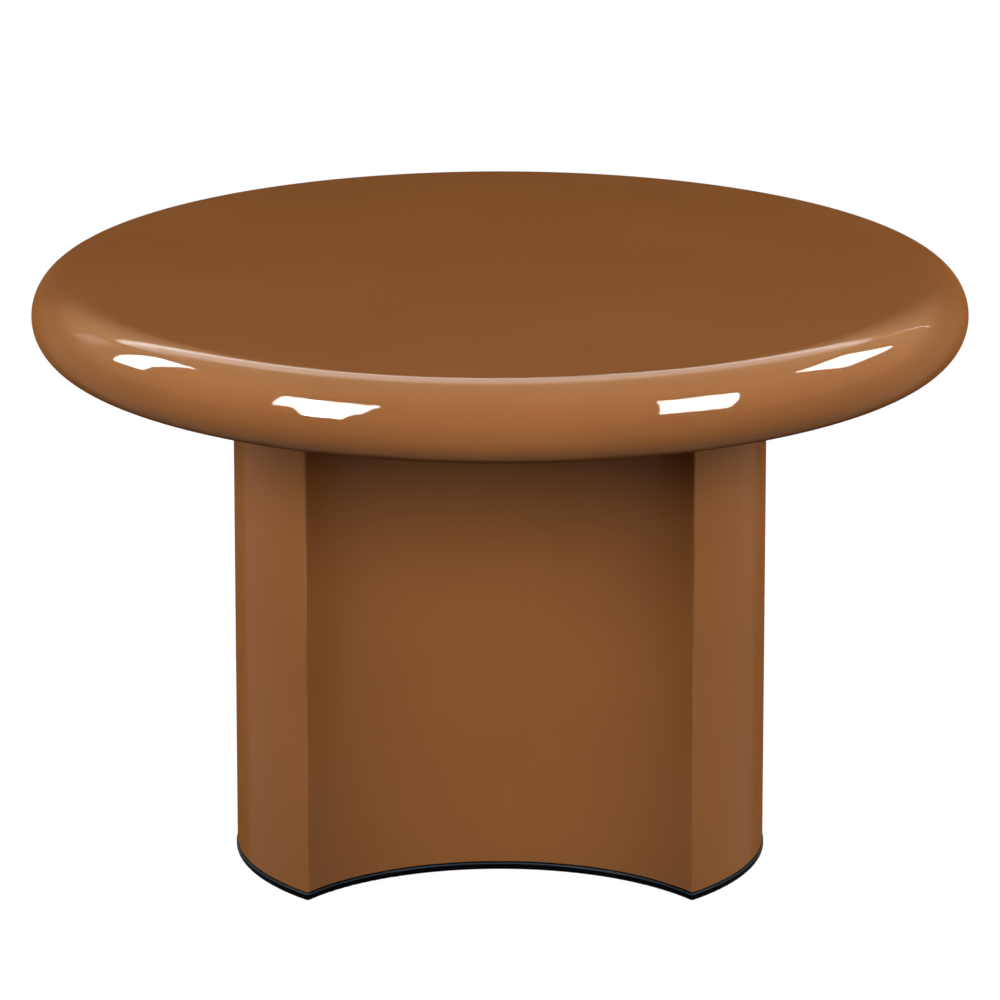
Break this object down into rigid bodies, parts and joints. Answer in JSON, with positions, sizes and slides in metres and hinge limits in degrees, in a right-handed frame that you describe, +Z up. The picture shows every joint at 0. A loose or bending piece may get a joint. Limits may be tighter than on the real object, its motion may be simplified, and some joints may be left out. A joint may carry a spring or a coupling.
{
  "type": "side table",
  "caption": "Round side table with a thick, fully rounded lacquered top on a hollow pedestal scooped in front and behind, standing on a thin black plinth.",
  "frame": {"origin": "on the floor, under the centre of the top", "axes": "+Z up; -Y towards the front, where the pictured scoop faces; X from one convex end of the pedestal to the other"},
  "size_m": [0.7, 0.7, 0.45],
  "materials": {
    "brown_lacquer": "high-gloss caramel brown lacquer over fibreboard",
    "raw_fibreboard": "bare medium-density fibreboard",
    "post_softwood": "planed softwood",
    "dowel_beech": "turned beech",
    "black_plinth": "satin black",
    "zinc_steel": "bright zinc plated",
    "insert_brass": "turned brass"
  },
  "bodies": {
    "root": {"top_deck": "brown_lacquer", "under_deck": "brown_lacquer", "rim_segment_1": "brown_lacquer", "rim_segment_2": "brown_lacquer", "rim_segment_3": "brown_lacquer", "rim_segment_4": "brown_lacquer", "rim_segment_5": "brown_lacquer", "rim_segment_6": "brown_lacquer", "rim_segment_7": "brown_lacquer", "rim_segment_8": "brown_lacquer", "end_panel_left": "brown_lacquer", "end_panel_right": "brown_lacquer", "scoop_panel_front": "brown_lacquer", "scoop_panel_back": "brown_lacquer", "core_hub": "raw_fibreboard", "core_rib_1": "raw_fibreboard", "core_rib_2": "raw_fibreboard", "core_rib_3": "raw_fibreboard", "core_rib_4": "raw_fibreboard", "core_rib_5": "raw_fibreboard", "core_rib_6": "raw_fibreboard", "core_rib_7": "raw_fibreboard", "core_rib_8": "raw_fibreboard", "top_former": "raw_fibreboard", "middle_former": "raw_fibreboard", "bottom_former": "raw_fibreboard", "corner_post_front_left": "post_softwood", "corner_post_front_right": "post_softwood", "corner_post_back_left": "post_softwood", "corner_post_back_right": "post_softwood", "locating_dowels": "dowel_beech", "plinth": "black_plinth", "top_bolts": "zinc_steel", "bolt_washers": "zinc_steel", "plinth_screws": "zinc_steel", "top_inserts": "insert_brass"}
  },
  "joints": []
}
